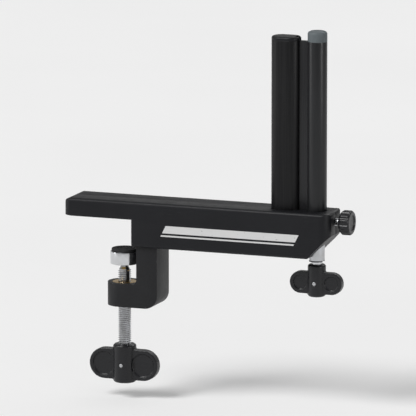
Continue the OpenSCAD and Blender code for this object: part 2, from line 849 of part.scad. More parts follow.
c_frame();
upper_pad();
front_cover();
rear_cover();
cover_screws();
main_post();
post_plug();
post_screws();
post_cap();
clamp_nut();
height_bush();
thrust_washer();
height_column();
height_nut();
nut_grub_screw();
column_cap();
height_screw();
height_clip();
height_knob();
height_knob_pin();
height_knob_cap();
pressure_foot();
foot_pad();
foot_retainer();
clamp_screw();
clamp_knob();
clamp_knob_pin();
clamp_knob_cap();
lock_tip();
lock_screw();
lock_knob();
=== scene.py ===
import json
import math
from collections import namedtuple

import bmesh
import bpy
from mathutils import Matrix, Vector


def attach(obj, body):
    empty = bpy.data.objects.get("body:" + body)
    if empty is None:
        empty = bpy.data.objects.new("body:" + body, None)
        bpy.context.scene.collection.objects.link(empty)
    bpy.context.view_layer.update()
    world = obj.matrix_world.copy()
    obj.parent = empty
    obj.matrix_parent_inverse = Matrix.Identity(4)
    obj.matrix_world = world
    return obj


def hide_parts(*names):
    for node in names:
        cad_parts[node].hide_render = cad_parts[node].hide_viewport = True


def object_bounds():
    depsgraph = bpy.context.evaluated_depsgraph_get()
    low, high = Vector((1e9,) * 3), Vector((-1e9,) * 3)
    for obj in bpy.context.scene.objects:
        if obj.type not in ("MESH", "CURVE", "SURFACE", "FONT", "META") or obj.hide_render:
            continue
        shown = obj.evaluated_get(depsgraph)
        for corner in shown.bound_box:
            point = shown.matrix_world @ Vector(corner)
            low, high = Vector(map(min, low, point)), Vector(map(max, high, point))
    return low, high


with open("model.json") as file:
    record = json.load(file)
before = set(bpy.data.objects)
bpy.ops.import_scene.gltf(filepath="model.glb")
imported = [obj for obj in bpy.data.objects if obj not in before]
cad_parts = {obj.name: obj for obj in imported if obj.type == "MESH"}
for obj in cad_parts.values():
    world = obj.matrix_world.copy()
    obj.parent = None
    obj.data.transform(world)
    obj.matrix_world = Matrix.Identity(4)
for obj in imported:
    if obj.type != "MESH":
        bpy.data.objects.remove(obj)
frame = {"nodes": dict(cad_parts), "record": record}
cad_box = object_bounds()

# Table tennis net clamp. Each CAD node keeps its place and gets a finish, or a piece with threads,
# moulded roundings and other small forms stands for it. Blender works in metres. Numbers in
# millimetres are written as they are and multiplied by MM where they are used.
MM = 0.001
CLAMP_X = -9.0      # axis of the clamp screw, mm
COLUMN_X = 148.0    # axis of the column and of its screw, mm
LOCK_Z = 6.5        # height of the lock screw's axis, mm
ARM_SIDE = 17.0     # distance of the arm's flat sides from the middle plane, mm

scene = bpy.context.scene
nodes = frame["nodes"]
behaviour = frame["record"]["behaviour"]
body_of = {node: body for body, members in behaviour["bodies"].items() for node in members}
slot_of = {part["node"]: part["material_slot"] for part in frame["record"]["subparts"]}


# ---------------------------------------------------------------- camera
AZIMUTH, ELEVATION = math.radians(20.6), math.radians(10.5)    # the photo's viewing angle
TARGET = Vector((0.0595, 0.0, 0.0105))      # the middle of the picture
DISTANCE, VIEW_HEIGHT = 5.32, 0.318         # from the target, and the picture's height there
SENSOR = 36.0                               # mm

back = Vector((math.sin(AZIMUTH) * math.cos(ELEVATION), -math.cos(AZIMUTH) * math.cos(ELEVATION),
               math.sin(ELEVATION)))
cam_data = bpy.data.cameras.new("camera")
cam = bpy.data.objects.new("camera", cam_data)
scene.collection.objects.link(cam)
cam.location = TARGET + back * DISTANCE
cam.rotation_euler = back.to_track_quat("Z", "Y").to_euler()
cam_data.sensor_width = SENSOR
cam_data.lens = SENSOR * DISTANCE / VIEW_HEIGHT
cam_data.clip_start, cam_data.clip_end = 0.1, 100.0
scene.camera = cam


# ---------------------------------------------------------------- material helpers
class Mat:
    """A Principled material, with short calls for the nodes that feed it.
    Textures lie in the CAD frame, so their scales are counts per metre."""

    def __init__(self, name):
        self.material = bpy.data.materials.new(name)
        self.material.use_nodes = True
        self.tree = self.material.node_tree
        self.tree.nodes.clear()
        self.out = self.node("OutputMaterial")
        self.bsdf = self.node("BsdfPrincipled")
        self.link(self.bsdf.outputs[0], self.out.inputs[0])
        self.coords = self.node("TexCoord")
        self.co = self.coords.outputs["Object"]

    def node(self, kind):
        return self.tree.nodes.new("ShaderNode" + kind)

    def link(self, output, socket):
        self.tree.links.new(output, socket)

    def put(self, socket, value):
        """Links value to the socket if it is an output, and otherwise sets it."""
        if hasattr(value, "links"):
            self.link(value, socket)
        else:
            socket.default_value = value

    def noise(self, scale, detail=2.0, rough=0.5, stretch=(1, 1, 1), at=(0, 0, 0)):
        """Noise with scale times stretch along each axis, moved by at."""
        mapping = self.node("Mapping")
        mapping.inputs["Scale"].default_value = stretch
        mapping.inputs["Location"].default_value = at
        self.link(self.co, mapping.inputs["Vector"])
        texture = self.node("TexNoise")
        texture.inputs["Scale"].default_value = scale
        texture.inputs["Detail"].default_value = detail
        texture.inputs["Roughness"].default_value = rough
        self.link(mapping.outputs[0], texture.inputs["Vector"])
        return texture.outputs[0]

    def cells(self, scale):
        texture = self.node("TexVoronoi")
        texture.inputs["Scale"].default_value = scale
        self.link(self.co, texture.inputs["Vector"])
        return texture.outputs["Distance"]

    def range(self, value, from_min, from_max, to_min, to_max):
        """The value carried over from one range to another, held within it."""
        r = self.node("MapRange")
        self.put(r.inputs["Value"], value)
        for key, limit in (("From Min", from_min), ("From Max", from_max),
                           ("To Min", to_min), ("To Max", to_max)):
            r.inputs[key].default_value = limit
        return r.outputs[0]

    def math(self, operation, a, b=0.0):
        q = self.node("Math")
        q.operation = operation
        self.put(q.inputs[0], a)
        self.put(q.inputs[1], b)
        return q.outputs[0]

    def mix(self, factor, a, b):
        """Colour a where factor is 0, b where it is 1."""
        q = self.node("Mix")
        q.data_type = "RGBA"
        self.put(q.inputs[0], factor)
        for socket, color in ((q.inputs[6], a), (q.inputs[7], b)):
            self.put(socket, color if hasattr(color, "links") else (*color, 1.0))
        return q.outputs[2]

    def split(self, vector, axis):
        s = self.node("SeparateXYZ")
        self.link(vector, s.inputs[0])
        return s.outputs[axis]

    def up(self):
        """1 where the surface faces up, 0 where it stands or faces down."""
        return self.range(self.split(self.coords.outputs["Normal"], 2), 0.2, 1.0, 0.0, 1.0)

    def from_axis(self, axis, at):
        """Distance from a line along axis (0, 1 or 2) through the point at."""
        parts = [self.math("SUBTRACT", self.split(self.co, k), at[k])
                 for k in range(3) if k != axis]
        squares = [self.math("MULTIPLY", p, p) for p in parts]
        return self.math("SQRT", self.math("ADD", *squares))

    def edges(self, radius, low=0.02, high=0.25):
        """1 along the edges, 0 on the flats."""
        bevel = self.node("Bevel")
        bevel.samples = 4
        bevel.inputs["Radius"].default_value = radius
        dot = self.node("VectorMath")
        dot.operation = "DOT_PRODUCT"
        self.link(bevel.outputs[0], dot.inputs[0])
        self.link(self.node("NewGeometry").outputs["Normal"], dot.inputs[1])
        return self.range(self.math("SUBTRACT", 1.0, dot.outputs["Value"]), low, high, 0.0, 1.0)

    def bump(self, height, distance, strength=1.0, under=None):
        """A bump of the height, on top of the bump that under is."""
        bp = self.node("Bump")
        bp.inputs["Strength"].default_value = strength
        bp.inputs["Distance"].default_value = distance
        self.link(height, bp.inputs["Height"])
        if under is not None:
            self.link(under, bp.inputs["Normal"])
        return bp.outputs[0]

    def finish(self, color, rough, normal=None, metal=0.0, spec=0.5):
        inputs = self.bsdf.inputs
        self.put(inputs["Base Color"], color if hasattr(color, "links") else (*color, 1.0))
        self.put(inputs["Roughness"], rough)
        self.put(inputs["Metallic"], metal)
        inputs["Specular IOR Level"].default_value = spec
        if normal is not None:
            self.link(normal, inputs["Normal"])
        return self.material


def shift(color, times, plus=0.0):
    """The colour, lighter or darker."""
    return tuple(min(1.0, c * times + plus) for c in color)


def moulded(name, base, rough=(0.36, 0.5), grain=2000.0, depth=0.09, dust=0.10, spec=0.22,
            wear=0.5, seam=False):
    """Moulded plastic: fine eroded grain of a depth in mm, handling sheen, fine scratches,
    a little dust, rubbed edges. With seam, the mould's parting line runs round at y = 0."""
    m = Mat(name)
    cloud = m.noise(26, 4, 0.6)
    fine = m.noise(grain, 3, 0.6)
    pits = m.cells(grain * 0.8)
    sheen = m.noise(120, 5, 0.7, stretch=(1, 1, 6))
    scratch = m.math(
        "MULTIPLY",
        m.range(m.noise(2600, 3, 0.6, stretch=(0.06, 1, 1), at=(0.3, 0.1, 0.2)),
                0.62, 0.68, 0.0, 1.0),
        m.range(m.noise(45, 3, 0.6), 0.5, 0.62, 0.0, 0.6))
    edge = m.math("MULTIPLY", m.edges(0.8 * MM),
                  m.range(m.noise(300, 4, 0.7), 0.45, 0.62, 0.0, wear))
    dusty = m.math("MULTIPLY", m.up(), m.range(m.noise(60, 5, 0.65), 0.35, 0.75, 0.0, dust))
    color = m.mix(m.range(cloud, 0.35, 0.7, 0.0, 0.55), base, shift(base, 1.6, 0.003))
    color = m.mix(m.range(fine, 0.4, 0.62, 0.0, 0.7), color, shift(base, 1.0, 0.009))
    color = m.mix(dusty, color, shift(base, 0.75, 0.03))
    color = m.mix(edge, color, shift(base, 2.4, 0.02))
    color = m.mix(scratch, color, shift(base, 1.0, 0.022))
    roughness = m.math("ADD", m.range(sheen, 0.3, 0.7, *rough), m.range(edge, 0, 1, 0, -0.08))
    normal = m.bump(fine, depth * MM, 0.9, m.bump(pits, depth * 0.6 * MM, 0.5))
    if seam:
        line = m.range(m.math("ABSOLUTE", m.split(m.co, 1)), 0.0, 0.15 * MM, 1.0, 0.0)
        normal = m.bump(line, 0.08 * MM, 0.7, normal)
    return m.finish(color, roughness, normal, spec=spec)


def coated_tube(name, base, rough=(0.3, 0.42), spec=0.35, edge_tone=(0.12, 0.12, 0.125)):
    """Satin coated extrusion: faint drawing lines along Z, an even film, rubbed edges."""
    m = Mat(name)
    lines = m.noise(900, 3, 0.6, stretch=(1, 1, 0.015))
    broad = m.noise(160, 3, 0.6, stretch=(1, 1, 0.03))
    peel = m.noise(700, 2, 0.5)
    scuff = m.range(m.noise(90, 6, 0.75, stretch=(1, 1, 0.35)), 0.54, 0.74, 0.0, 0.5)
    edge = m.math("MULTIPLY", m.edges(0.6 * MM),
                  m.range(m.noise(420, 4, 0.7), 0.42, 0.6, 0.0, 0.6))
    color = m.mix(m.range(broad, 0.35, 0.65, 0.0, 0.6), base, shift(base, 1.5, 0.002))
    color = m.mix(m.range(lines, 0.42, 0.62, 0.0, 0.7), color, shift(base, 1.0, 0.007))
    color = m.mix(m.math("MULTIPLY", scuff, 0.4), color, shift(base, 1.8, 0.010))
    color = m.mix(edge, color, edge_tone)
    roughness = m.math("ADD", m.range(broad, 0.3, 0.7, *rough), m.math("MULTIPLY", scuff, 0.12))
    normal = m.bump(lines, 0.012 * MM, 0.7, m.bump(peel, 0.02 * MM, 0.35))
    return m.finish(color, roughness, normal, spec=spec)


def powder_coat(name, base, rough=(0.42, 0.54)):
    """Powder coat on a casting: orange peel with a fine texture, bare metal at a few edges."""
    m = Mat(name)
    peel = m.noise(420, 3, 0.55)
    fine = m.noise(1700, 2, 0.6)
    cloud = m.noise(30, 4, 0.6)
    chip = m.math("MULTIPLY", m.edges(0.9 * MM, 0.04, 0.3),
                  m.range(m.noise(520, 5, 0.75), 0.58, 0.62, 0.0, 1.0))
    color = m.mix(m.range(cloud, 0.3, 0.7, 0.0, 0.6), base, shift(base, 1.5, 0.003))
    color = m.mix(m.range(fine, 0.4, 0.62, 0.0, 0.7), color, shift(base, 1.0, 0.010))
    color = m.mix(m.math("MULTIPLY", m.up(), 0.10), color, DUST)
    color = m.mix(chip, color, BARE_CASTING)
    roughness = m.math("ADD", m.range(cloud, 0.3, 0.7, *rough), m.math("MULTIPLY", chip, -0.1))
    normal = m.bump(peel, 0.14 * MM, 0.8, m.bump(fine, 0.07 * MM, 0.7))
    return m.finish(color, roughness, normal, metal=m.math("MULTIPLY", chip, 0.9), spec=0.28)


def metal(name, tones, rough=(0.14, 0.28), turn=None, groove=None):
    """Plated or bare metal: haze between two tones, spots, fine tool marks, dirt in corners.
    turn is the (axis, point) that a turned piece's marks run round. groove is (root, crest), the
    two radii in mm of its thread, whose root holds oil and dust."""
    base, tint = tones
    m = Mat(name)
    haze = m.noise(140, 5, 0.65)
    spots = m.range(m.noise(900, 4, 0.7), 0.6, 0.72, 0.0, 1.0)
    dirt = m.math("MULTIPLY", m.edges(0.5 * MM),
                  m.range(m.noise(500, 4, 0.7), 0.4, 0.65, 0.0, 0.6))
    color = m.mix(m.range(haze, 0.35, 0.7, 0.0, 0.4), base, tint)
    color = m.mix(m.math("MULTIPLY", spots, 0.35), color, shift(tint, 0.45))
    color = m.mix(dirt, color, shift(tint, 0.4))
    if turn:
        radius = m.from_axis(*turn)
        rings = m.node("TexNoise")
        rings.noise_dimensions = "1D"
        rings.inputs["Scale"].default_value = 2600.0
        m.link(m.math("ADD", radius, m.split(m.co, turn[0])), rings.inputs["W"])
        marks = rings.outputs[0]
    else:
        marks = m.noise(1400, 2, 0.6)
    if groove:
        deep = m.range(radius, groove[0] * MM, groove[1] * MM, 1.0, 0.0)
        grime = m.math("MULTIPLY", m.math("POWER", deep, 1.5),
                       m.range(haze, 0.3, 0.6, 0.25, 0.6))
        color = m.mix(grime, color, shift(tint, 0.25))
    roughness = m.math("ADD", m.range(haze, 0.3, 0.7, *rough), m.math("MULTIPLY", spots, 0.15))
    return m.finish(color, roughness, m.bump(marks, 0.006 * MM, 0.6), metal=1.0)


def rubbery(name, base):
    """Matt rubber with uneven patches and dust."""
    m = Mat(name)
    grain = m.noise(1300, 4, 0.7)
    patch = m.noise(70, 4, 0.6)
    dusty = m.range(m.noise(260, 5, 0.7), 0.5, 0.75, 0.0, 0.4)
    color = m.mix(m.range(patch, 0.3, 0.7, 0.0, 0.8), base, shift(base, 1.6, 0.004))
    color = m.mix(dusty, color, shift(base, 1.0, 0.025))
    return m.finish(color, m.range(patch, 0.3, 0.7, 0.78, 0.92),
                    m.bump(grain, 0.04 * MM, 0.8), spec=0.25)


def printed(name, ink, under):
    """Screen-printed ink on moulded plastic: mesh texture, small rubbed spots."""
    m = Mat(name)
    rub = m.range(m.noise(380, 6, 0.75), 0.645, 0.67, 0.0, 0.9)
    cloud = m.noise(40, 4, 0.6)
    color = m.mix(m.range(cloud, 0.3, 0.7, 0.0, 0.5), ink, shift(ink, 0.93))
    color = m.mix(rub, color, shift(under, 2.0, 0.01))
    normal = m.bump(m.noise(1500, 3, 0.6), 0.01 * MM, 0.6, m.bump(rub, 0.02 * MM, -0.5))
    return m.finish(color, m.range(cloud, 0.3, 0.7, 0.44, 0.54), normal, spec=0.4)


# ---------------------------------------------------------------- finishes
ARM_BLACK = (0.0038, 0.0041, 0.0058)
DUST = (0.05, 0.05, 0.048)
BARE_CASTING = (0.3, 0.3, 0.31)
STEEL = ((0.66, 0.67, 0.69), (0.44, 0.435, 0.425))
ZINC = ((0.52, 0.53, 0.55), (0.40, 0.40, 0.38))
DARK_STEEL = ((0.14, 0.14, 0.15), (0.09, 0.09, 0.10))
BRASS = ((0.62, 0.43, 0.18), (0.38, 0.25, 0.10))
ZINC_ROUGH, BRASS_ROUGH = (0.26, 0.42), (0.2, 0.36)
CLAMP_AXIS = (2, (CLAMP_X * MM, 0.0, 0.0))
COLUMN_AXIS = (2, (COLUMN_X * MM, 0.0, 0.0))
LOCK_AXIS = (0, (0.0, 0.0, LOCK_Z * MM))

# The finish of each material slot of the record
SLOT_FINISH = {
    "cast_black": powder_coat("cast_black", (0.0048, 0.0050, 0.0064)),
    "moulded_black": moulded("moulded_black", ARM_BLACK),
    "post_black": coated_tube("post_black", (0.0030, 0.0030, 0.0037), rough=(0.36, 0.48),
                              spec=0.22),
    "knob_black": moulded("knob_black", (0.0052, 0.0054, 0.0070), rough=(0.24, 0.36), grain=2600,
                          depth=0.03, dust=0.05, spec=0.36, wear=0.35, seam=True),
    "cap_plastic": moulded("cap_plastic", (0.022, 0.022, 0.024), rough=(0.5, 0.62)),
    # grey_cap: grey plastic made as pale as the highlight on the column's top rim, so its paleness
    # is partly painted highlight
    "grey_cap": moulded("grey_cap", (0.105, 0.122, 0.130), rough=(0.42, 0.56), dust=0.05,
                        wear=0.15),
    "rubber": rubbery("rubber", (0.016, 0.016, 0.017)),
    "bright_steel": metal("bright_steel", STEEL),
    "zinc_steel": metal("zinc_steel", ZINC, ZINC_ROUGH),
    "dark_steel": metal("dark_steel", DARK_STEEL, (0.3, 0.45)),
    "brass": metal("brass", BRASS, BRASS_ROUGH),
    "nylon": moulded("nylon", (0.62, 0.60, 0.53), rough=(0.45, 0.6), dust=0.0, wear=0.0),
}
# Nodes whose finish follows their own axis or differs in tone from their slot's. The column's
# tone, lighter than post_black, is partly its satin coat and partly painted highlight
NODE_FINISH = {
    "clamp_screw": metal("clamp_screw_steel", STEEL, turn=CLAMP_AXIS, groove=(4.1, 5.0)),
    "height_screw": metal("height_screw_steel", STEEL, turn=COLUMN_AXIS, groove=(3.25, 4.0)),
    "lock_screw": metal("lock_screw_steel", STEEL, turn=LOCK_AXIS, groove=(2.4, 3.0)),
    "pressure_foot": metal("foot_steel", STEEL, turn=CLAMP_AXIS),
    "foot_retainer": metal("retainer_brass", BRASS, BRASS_ROUGH, turn=CLAMP_AXIS),
    "clamp_nut": metal("nut_brass", BRASS, BRASS_ROUGH, turn=CLAMP_AXIS),
    "height_bush": metal("bush_steel", ZINC, ZINC_ROUGH, turn=COLUMN_AXIS),
    # A lighter copy of post_black: the column's satin coat, with painted highlight in its base
    # colour for the highlights the round column catches
    "height_column": coated_tube("column_black_painted_highlight", (0.0082, 0.0086, 0.0098), rough=(0.27, 0.38),
                                 spec=0.34),
}
PRINT = printed("print_white", (0.66, 0.66, 0.66), ARM_BLACK)


# ---------------------------------------------------------------- shape helpers
FINE_ANGLE = 32.0    # degrees past which the edges of turned and cut pieces stay sharp
ON_CUT = 1e-7        # metres from a cut within which a point counts as on it


def add(name, mesh):
    ob = bpy.data.objects.new(name, mesh)
    scene.collection.objects.link(ob)
    return ob


def dress(ob, node):
    """Gives a piece the finish of the CAD node."""
    finish = NODE_FINISH.get(node) or SLOT_FINISH[slot_of[node]]
    if ob.data.materials:
        ob.data.materials[0] = finish
    else:
        ob.data.materials.append(finish)
    return ob


def stand_for(ob, node):
    """The piece stands for the CAD node: same body, same finish."""
    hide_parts(node)
    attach(ob, body_of[node])
    return dress(ob, node)


def shade(mesh, angle=38.0):
    """Smooth faces, with sharp edges past the angle in degrees."""
    for p in mesh.polygons:
        p.use_smooth = True
    mesh.set_sharp_from_angle(angle=math.radians(angle))


def to_mesh(bm, name, angle=38.0):
    mesh = bpy.data.meshes.new(name)
    bmesh.ops.recalc_face_normals(bm, faces=bm.faces)
    bm.to_mesh(mesh)
    bm.free()
    shade(mesh, angle)
    return mesh


def clean_copy(node):
    """A bmesh of the CAD node with its flat faces whole again."""
    bm = bmesh.new()
    bm.from_mesh(nodes[node].data)
    bmesh.ops.remove_doubles(bm, verts=bm.verts, dist=2e-6)
    bmesh.ops.dissolve_limit(bm, angle_limit=math.radians(0.4), verts=bm.verts, edges=bm.edges)
    return bm


def soften(bm, width, least=32.0):
    """Rounds by width the convex edges that bend by more than least degrees."""
    bm.normal_update()
    sharp = [e for e in bm.edges
             if e.is_manifold and e.is_convex and e.calc_face_angle(0.0) > math.radians(least)]
    if sharp:
        bmesh.ops.bevel(bm, geom=sharp, offset=width, offset_type="OFFSET", segments=3,
                        profile=0.5, affect="EDGES", clamp_overlap=True)


def softened(node, width):
    """The CAD node with its edges rounded by width in mm."""
    bm = clean_copy(node)
    soften(bm, width * MM)
    return stand_for(add(node + "_soft", to_mesh(bm, node + "_soft")), node)


def cut_lines(bm, find, planes):
    """Cuts the faces that find names along each plane (point, normal), and keeps both sides."""
    for point, normal in planes:
        faces = find(bm)
        around = [e for f in faces for e in f.edges] + [v for f in faces for v in f.verts]
        bmesh.ops.bisect_plane(bm, geom=list(dict.fromkeys(around)) + faces, dist=ON_CUT,
                               plane_co=point, plane_no=normal)


def apply_modifiers(ob):
    """Gives the object the mesh that its modifiers make, and removes them."""
    graph = bpy.context.evaluated_depsgraph_get()
    mesh = bpy.data.meshes.new_from_object(ob.evaluated_get(graph))
    ob.modifiers.clear()
    ob.data = mesh
    return mesh


def subtract(ob, bm):
    """Cuts the shape of bm out of the piece."""
    cutter = add("cutter", to_mesh(bm, "cutter"))
    cut = ob.modifiers.new("cut", "BOOLEAN")
    cut.operation, cut.solver, cut.object = "DIFFERENCE", "EXACT", cutter
    shade(apply_modifiers(ob), FINE_ANGLE)
    bpy.data.objects.remove(cutter)


def moulding(node, voxel, rounds, shape=None):
    """The CAD node with all its edges and corners rounded as in a mould: remeshed in voxels of
    a size in mm, then smoothed. shape moves each point of the result."""
    bm = clean_copy(node)
    bmesh.ops.triangulate(bm, faces=bm.faces)
    ob = add(node + "_moulded", to_mesh(bm, node + "_moulded"))
    remesh = ob.modifiers.new("voxels", "REMESH")
    remesh.mode, remesh.voxel_size, remesh.adaptivity = "VOXEL", voxel * MM, 0.0
    smooth = ob.modifiers.new("smooth", "SMOOTH")
    smooth.factor, smooth.iterations = 0.5, rounds
    mesh = apply_modifiers(ob)
    if shape:
        for v in mesh.vertices:
            v.co = shape(v.co)
    shade(mesh, 50.0)
    return stand_for(ob, node)


# A right-hand thread on the stretch after the profile's point number start: its pitch, depth,
# run-out and crest radius
Thread = namedtuple("Thread", "start pitch depth lead crest")
# One turn of a thread's section: (share of the pitch, share of the depth)
THREAD_FORM = ((0.0, 0.0), (0.125, 0.0), (0.4375, 1.0), (0.6875, 1.0))


def wind(bm, circle, low, high, thread):
    """Adds a thread's faces between the profile points low and high."""
    (r0, z0), (r1, z1) = low, high
    steps = len(circle)
    rows = []
    for turn in range(-1, int((z1 - z0) / thread.pitch) + 2):
        for part, deep in THREAD_FORM:
            row = []
            for i in range(steps + 1):
                z = z0 + (turn + part + i / steps) * thread.pitch
                end, far = (r0, z - z0) if z - z0 < z1 - z else (r1, z1 - z)
                ease = min(1.0, max(0.0, far / thread.lead))
                cut = thread.depth * deep * (ease if end >= thread.crest else 1.0)
                r = min(end + (thread.crest - end) * ease, thread.crest - cut) if far > 0 else end
                c, s = circle[i % steps]
                row.append(bm.verts.new((r * c, r * s, min(max(z, z0), z1))))
            rows.append(row)
    for below, above in zip(rows, rows[1:]):
        for i in range(steps):
            bm.faces.new((below[i], below[i + 1], above[i + 1], above[i]))
    bmesh.ops.remove_doubles(bm, verts=bm.verts, dist=1e-6)


def lathe(profile, steps=64, thread=None):
    """A solid of revolution about Z from (radius, z) points. A profile that starts and ends on
    the axis is solid there, and one whose last point is its first is a ring."""
    bm = bmesh.new()
    circle = [(math.cos(2 * math.pi * i / steps), math.sin(2 * math.pi * i / steps))
              for i in range(steps)]

    def ring(r, z):
        if r < 1e-9:
            return [bm.verts.new((0, 0, z))] * steps
        return [bm.verts.new((r * c, r * s, z)) for c, s in circle]

    closed = profile[0] == profile[-1]
    rings = [ring(r, z) for r, z in (profile[:-1] if closed else profile)]
    if closed:
        rings.append(rings[0])
    for k, (low, high) in enumerate(zip(rings, rings[1:])):
        if thread and k == thread.start:
            continue
        for i in range(steps):
            j = (i + 1) % steps
            face = list(dict.fromkeys((low[i], low[j], high[j], high[i])))
            if len(face) > 2:
                bm.faces.new(face)
    if thread:
        wind(bm, circle, profile[thread.start], profile[thread.start + 1], thread)
    return bm


def in_metres(profile):
    return [(r * MM, z * MM) for r, z in profile]


def arc(z, radius, first, last, steps=10):
    """Points (radius, z) of a circle about the axis point z, between two angles in degrees."""
    points = []
    for i in range(steps + 1):
        angle = first + (last - first) * i / steps
        across = radius * math.cos(math.radians(angle)) if abs(angle) < 89.9 else 0.0
        points.append((across, z + radius * math.sin(math.radians(angle))))
    return points


def rounded(points, radii, steps=3):
    """The same outline, with the corner number i rounded by radii[i]."""
    out = []
    for i, point in enumerate(points):
        radius = radii.get(i)
        if not radius:
            out.append(point)
            continue
        p, a, b = Vector(point), Vector(points[i - 1]), Vector(points[i + 1])
        u, w = (a - p).normalized() * radius, (b - p).normalized() * radius
        for k in range(steps + 1):
            t = k / steps
            q = (p + u) * (1 - t) ** 2 + p * 2 * t * (1 - t) + (p + w) * t ** 2
            out.append((q.x, q.y))
    return out


def turned(node, profile, x=0.0, steps=64, thread=None, sideways=None):
    """A turned piece, its profile and thread in mm, that stands at x. With sideways it lies
    along +X from that point."""
    if thread:
        thread = Thread(thread.start, *(v * MM for v in thread[1:]))
    bm = lathe(in_metres(profile), steps, thread)
    if sideways:
        for v in bm.verts:
            v.co = Vector((v.co.z, v.co.y, -v.co.x)) + Vector(sideways) * MM
    else:
        bmesh.ops.translate(bm, vec=(x * MM, 0, 0), verts=bm.verts)
    mesh = to_mesh(bm, node + "_turned", FINE_ANGLE)
    return stand_for(add(node + "_turned", mesh), node)


def drill(ob, at, radius, length):
    """Cuts a round hole along Y through the piece, all in mm."""
    bm = lathe(in_metres([(0, -length / 2), (radius, -length / 2), (radius, length / 2),
                          (0, length / 2)]), 48)
    for v in bm.verts:
        v.co = Vector((v.co.x, v.co.z, -v.co.y)) + Vector(at) * MM
    subtract(ob, bm)


# ---------------------------------------------------------------- the arm
# Plain white bars on both sides of the arm: (x0, x1, z0, z1) in mm. Their ends lean by BAR_LEAN,
# and x0 and x1 are where the ends meet the lowest z
BARS = ((27.0, 135.0, -8.2, -2.4), (27.0, 135.0, -10.9, -9.7))
BAR_LEAN = 0.5
BAR_FOOT = BARS[-1][2]


def side_faces(bm):
    return [f for f in bm.faces if abs(f.normal.y) > 0.999
            and abs(abs(f.calc_center_median().y) - ARM_SIDE * MM) < 0.01 * MM]


def print_bars(bm):
    """Cuts the bars' outlines into the sides and gives them the second material."""
    bm.normal_update()
    planes = [((0, 0, z * MM), (0, 0, 1)) for bar in BARS for z in bar[2:]]
    ends = Vector((1.0, 0.0, -BAR_LEAN)).normalized()
    planes += [((x * MM, 0, BAR_FOOT * MM), ends) for x in BARS[0][:2]]
    cut_lines(bm, side_faces, planes)
    for f in side_faces(bm):
        c = f.calc_center_median() / MM
        x = c.x - BAR_LEAN * (c.z - BAR_FOOT)
        f.material_index = int(any(x0 < x < x1 and z0 < c.z < z1 for x0, x1, z0, z1 in BARS))


for node in ("front_cover", "rear_cover"):
    bm = clean_copy(node)
    soften(bm, 0.25 * MM)
    print_bars(bm)
    cover = stand_for(add(node + "_shell", to_mesh(bm, node + "_shell")), node)
    cover.data.materials.append(PRINT)

softened("c_frame", 0.8)

# Grooves in both rubber pads, in mm. Across the lower face of the upper jaw's pad they are blind
GROOVE_WIDTH, GROOVE_DEPTH, GROOVE_LENGTH = 1.2, 0.6, 25.2
JAW_GROOVES = [-47.0 + 3.0 * i for i in range(16)]      # x of their middles
FOOT_GROOVES = (7.8, 5.4, 3.0)                          # radii of their middles


def under_faces(bm):
    return [f for f in bm.faces if f.normal.z < -0.999 and f.calc_center_median().z < 0.02 * MM]


def in_groove(f):
    c = f.calc_center_median() / MM
    return (abs(c.y) < GROOVE_LENGTH / 2
            and any(abs(c.x - x) < GROOVE_WIDTH / 2 for x in JAW_GROOVES))


bm = clean_copy("upper_pad")
soften(bm, 0.3 * MM)
bm.normal_update()
planes = [((0, side * GROOVE_LENGTH / 2 * MM, 0), (0, 1, 0)) for side in (-1, 1)]
planes += [(((x + side * GROOVE_WIDTH / 2) * MM, 0, 0), (1, 0, 0))
           for x in JAW_GROOVES for side in (-1, 1)]
cut_lines(bm, under_faces, planes)
grooves = [f for f in under_faces(bm) if in_groove(f)]
raised = [v for v in bmesh.ops.extrude_face_region(bm, geom=grooves)["geom"]
          if isinstance(v, bmesh.types.BMVert)]
bmesh.ops.translate(bm, vec=(0, 0, GROOVE_DEPTH * MM), verts=raised)
bmesh.ops.delete(bm, geom=grooves, context="FACES_ONLY")
stand_for(add("upper_pad_grooved", to_mesh(bm, "upper_pad_grooved")), "upper_pad")

# Cover screws, which come in from behind: domed heads with a cross recess, each turned to its
# own angle. The profile is (radius, y) in mm
SCREW = [(0, -8.7), (1.0, -8.7), (1.5, -7.8), (1.5, 14.6), (2.7, 14.6), (2.7, 15.4), (2.6, 15.75),
         (2.3, 16.05), (1.7, 16.28), (0.9, 16.38), (0, 16.4)]
SCREW_TURNS = (12, 48, 75, 30)
CROSS_HALF_WIDTH, CROSS_REACH = 0.36, 1.55
CROSS_TAPER = ((0.62, 15.35), (1.05, 16.6))    # (scale of the cross, y)


def screw_places():
    """The (x, z) of each of the node's screws, found from its points."""
    groups = []
    for v in nodes["cover_screws"].data.vertices:
        for group in groups:
            if math.hypot(v.co.x - group[0].x, v.co.z - group[0].z) < 8 * MM:
                group.append(v.co)
                break
        else:
            groups.append([v.co])
    return [[(min(p[k] for p in group) + max(p[k] for p in group)) / 2 for k in (0, 2)]
            for group in groups]


def cross_cutter():
    a, b = CROSS_HALF_WIDTH, CROSS_REACH
    outline = [(a, a), (b, a), (b, -a), (a, -a), (a, -b), (-a, -b), (-a, -a), (-b, -a), (-b, a),
               (-a, a), (-a, b), (a, b)]
    bm = bmesh.new()
    low, high = [[bm.verts.new((p * k * MM, q * k * MM, y * MM)) for p, q in outline]
                 for k, y in CROSS_TAPER]
    for i in range(len(outline)):
        j = (i + 1) % len(outline)
        bm.faces.new((low[i], low[j], high[j], high[i]))
    bm.faces.new(low)
    bm.faces.new(high[::-1])
    bmesh.ops.recalc_face_normals(bm, faces=bm.faces)
    return bm


def join(target, bm, matrix):
    """Adds the verts and faces of bm to target, moved by matrix."""
    bmesh.ops.transform(bm, matrix=matrix, verts=bm.verts)
    mesh = bpy.data.meshes.new("part")
    bm.to_mesh(mesh)
    bm.free()
    target.from_mesh(mesh)
    bpy.data.meshes.remove(mesh)


